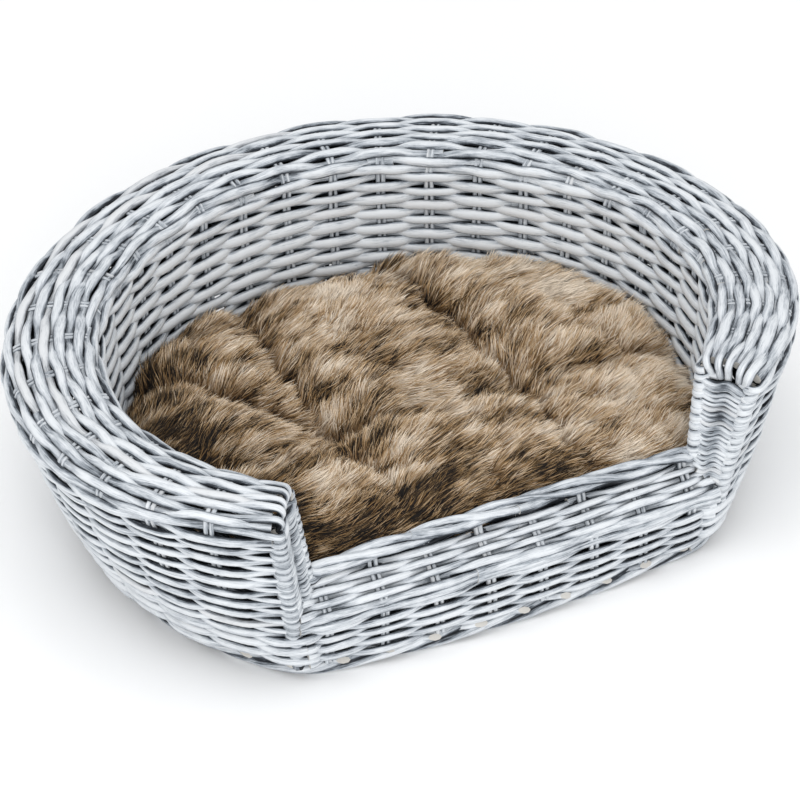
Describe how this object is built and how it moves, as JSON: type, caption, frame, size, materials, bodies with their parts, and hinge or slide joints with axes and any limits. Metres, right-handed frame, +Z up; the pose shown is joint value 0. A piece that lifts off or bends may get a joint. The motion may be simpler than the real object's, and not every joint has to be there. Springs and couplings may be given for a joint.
{
  "type": "wicker pet bed basket",
  "caption": "Low D-shaped willow basket with a hollow double wall, a broad rolled rim and a cut-down entrance, holding a loose tufted plush cushion.",
  "frame": {"origin": "on the ground, under the middle of the basket's bounding box", "axes": "+X to the right along the length, +Y to the back, +Z up; the entrance faces -Y"},
  "size_m": [0.5706, 0.4422, 0.157],
  "materials": {
    "willow": "whitewashed, matt",
    "willow_post": "whitewashed, matt",
    "willow_stake": "whitewashed, matt",
    "plush": "long pile",
    "base_cloth": "plain weave",
    "wadding": "loose fibre",
    "thread": "twisted thread"
  },
  "bodies": {
    "basket": {"base_border": "willow_post", "base_weave": "willow", "outer_wall_right": "willow", "outer_wall_back": "willow", "outer_wall_left": "willow", "inner_wall_right": "willow", "inner_wall_back": "willow", "inner_wall_left": "willow", "rim_weave_right": "willow", "rim_weave_back": "willow", "rim_weave_left": "willow", "front_wall": "willow", "sill_weave": "willow", "sill_inner_wall": "willow", "cheek_weave_right": "willow", "cheek_weave_left": "willow", "outer_post_right": "willow_post", "outer_post_left": "willow_post", "inner_post_right": "willow_post", "inner_post_left": "willow_post", "wall_stake_1": "willow_stake", "wall_stake_2": "willow_stake", "wall_stake_3": "willow_stake", "wall_stake_4": "willow_stake", "wall_stake_5": "willow_stake", "wall_stake_6": "willow_stake", "wall_stake_7": "willow_stake", "wall_stake_8": "willow_stake", "wall_stake_9": "willow_stake", "wall_stake_10": "willow_stake", "wall_stake_11": "willow_stake", "wall_stake_12": "willow_stake", "wall_stake_13": "willow_stake", "wall_stake_14": "willow_stake", "wall_stake_15": "willow_stake", "wall_stake_16": "willow_stake", "wall_stake_17": "willow_stake", "wall_stake_18": "willow_stake", "wall_stake_19": "willow_stake", "wall_stake_20": "willow_stake", "wall_stake_21": "willow_stake", "wall_stake_22": "willow_stake", "wall_stake_23": "willow_stake", "wall_stake_24": "willow_stake", "wall_stake_25": "willow_stake", "wall_stake_26": "willow_stake", "wall_stake_27": "willow_stake", "front_stake_1": "willow_stake", "front_stake_2": "willow_stake", "front_stake_3": "willow_stake", "front_stake_4": "willow_stake", "front_stake_5": "willow_stake", "front_stake_6": "willow_stake", "front_stake_7": "willow_stake", "front_stake_8": "willow_stake"},
    "cushion": {"cushion_cover": "plush", "cushion_base_cloth": "base_cloth", "cushion_filling": "wadding", "cushion_tie_1": "thread", "cushion_tie_2": "thread"}
  },
  "joints": [
    {"name": "cushion_lift", "type": "slide", "parent": "basket", "child": "cushion", "axis": [0, 0, 1], "range_m": [0, 0.2]}
  ]
}
